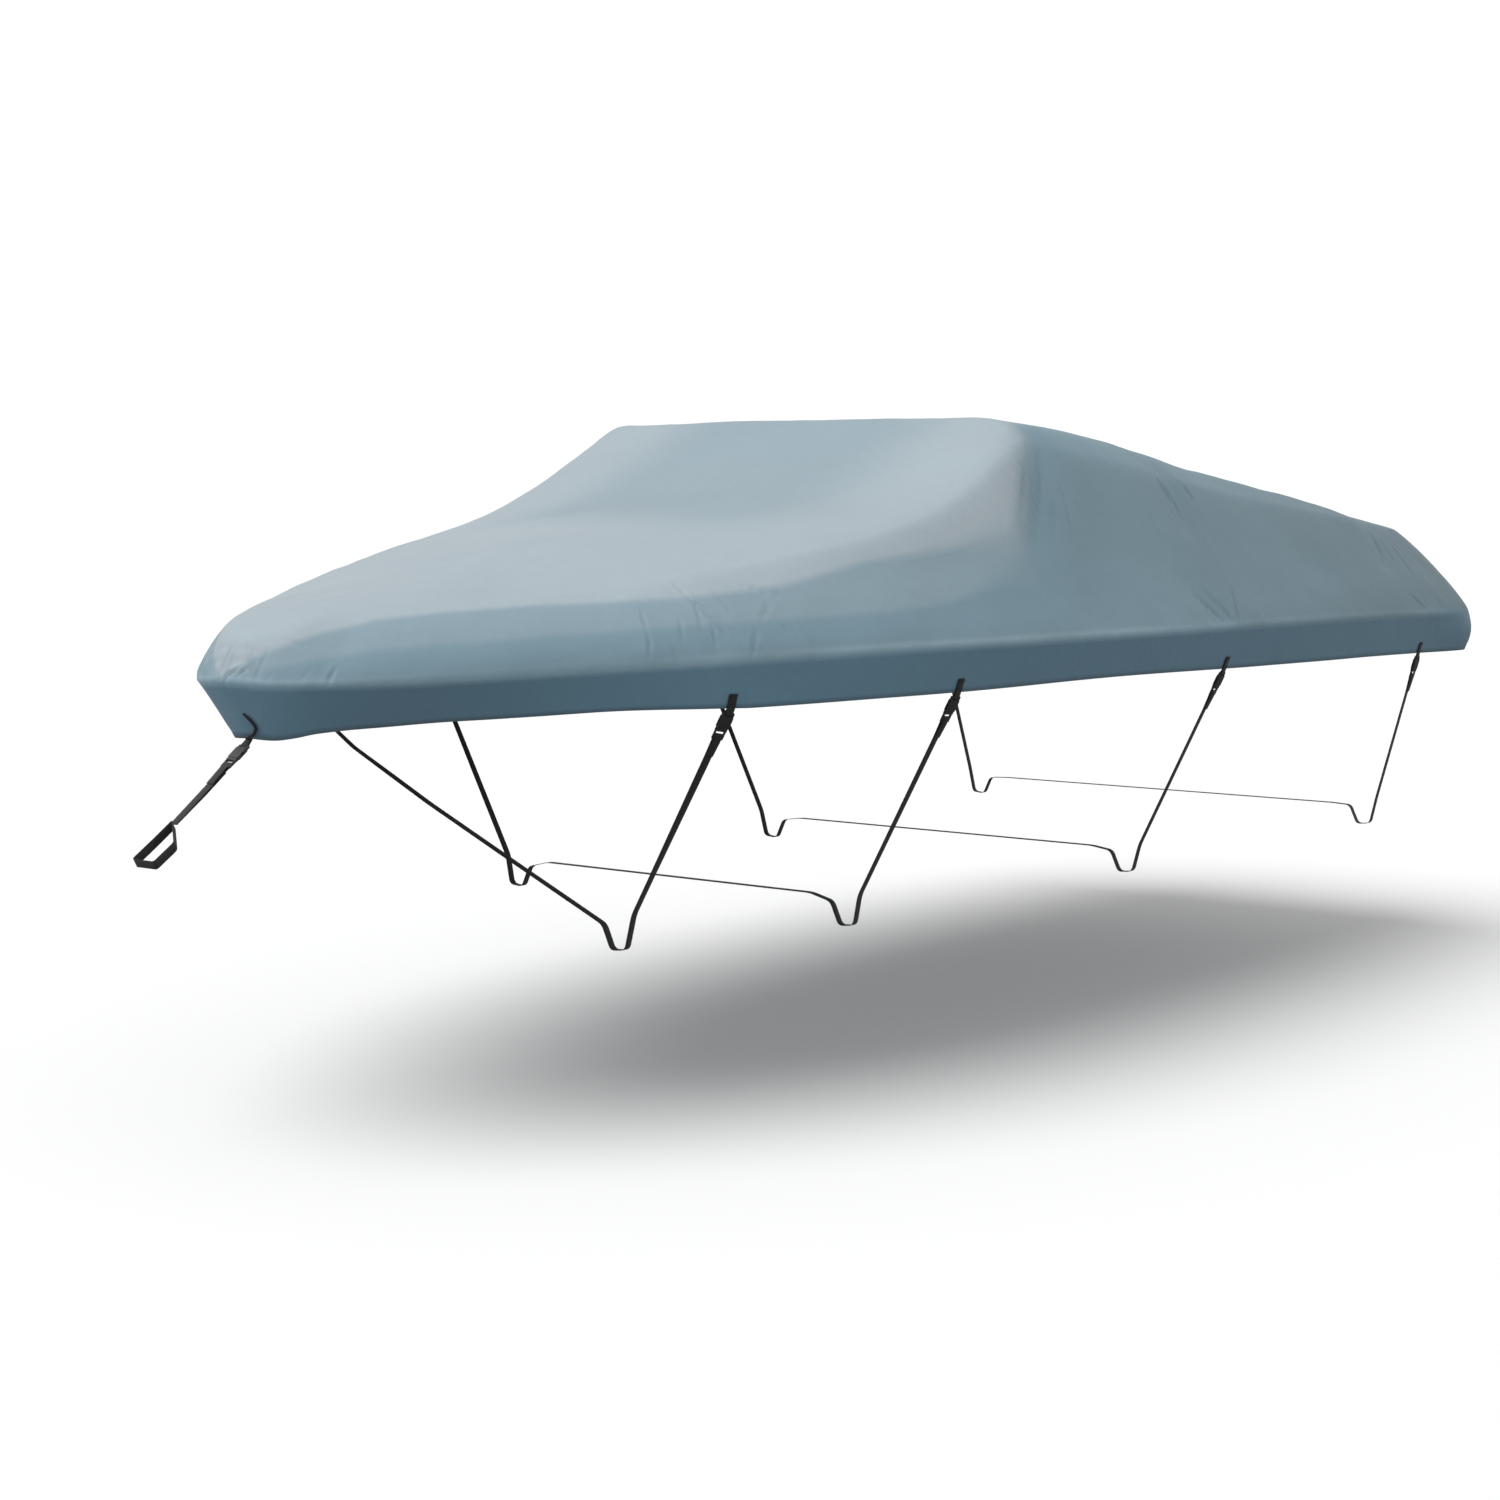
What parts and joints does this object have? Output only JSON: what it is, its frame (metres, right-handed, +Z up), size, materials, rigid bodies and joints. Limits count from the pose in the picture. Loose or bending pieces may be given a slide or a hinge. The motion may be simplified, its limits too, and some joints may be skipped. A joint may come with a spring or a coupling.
{
  "type": "trailer boat cover",
  "caption": "Fitted woven cover for a runabout on a trailer, hollow below, with webbing tie-downs, side-release buckles and a bow strap.",
  "frame": {"origin": "Just under the cloth at its highest part, on the centreline, where the covered windscreen (left out) holds the cover up.", "axes": "+X towards the stern along the keel line, +Y to starboard, +Z up."},
  "size_m": [5.8185, 2.3398, 1.53],
  "materials": {
    "cover_cloth": "matt coated weave",
    "webbing": "ribbed webbing",
    "cord": "braided",
    "buckle_plastic": "satin",
    "bow_buckle_plastic": "satin"
  },
  "bodies": {
    "root": {"cover_cloth": "cover_cloth", "hem_tab_1": "webbing", "buckle_socket_1": "buckle_plastic", "buckle_plug_1": "buckle_plastic", "tie_strap_1": "webbing", "hem_tab_2": "webbing", "buckle_socket_2": "buckle_plastic", "buckle_plug_2": "buckle_plastic", "tie_strap_2": "webbing", "hem_tab_3": "webbing", "buckle_socket_3": "buckle_plastic", "buckle_plug_3": "buckle_plastic", "tie_strap_3": "webbing", "hem_tab_4": "webbing", "buckle_socket_4": "buckle_plastic", "buckle_plug_4": "buckle_plastic", "tie_strap_4": "webbing", "bow_tab": "webbing", "hem_cord": "cord", "bow_buckle_socket": "bow_buckle_plastic", "bow_buckle_plug": "bow_buckle_plastic", "bow_strap": "webbing", "bow_sling": "webbing"}
  },
  "joints": []
}
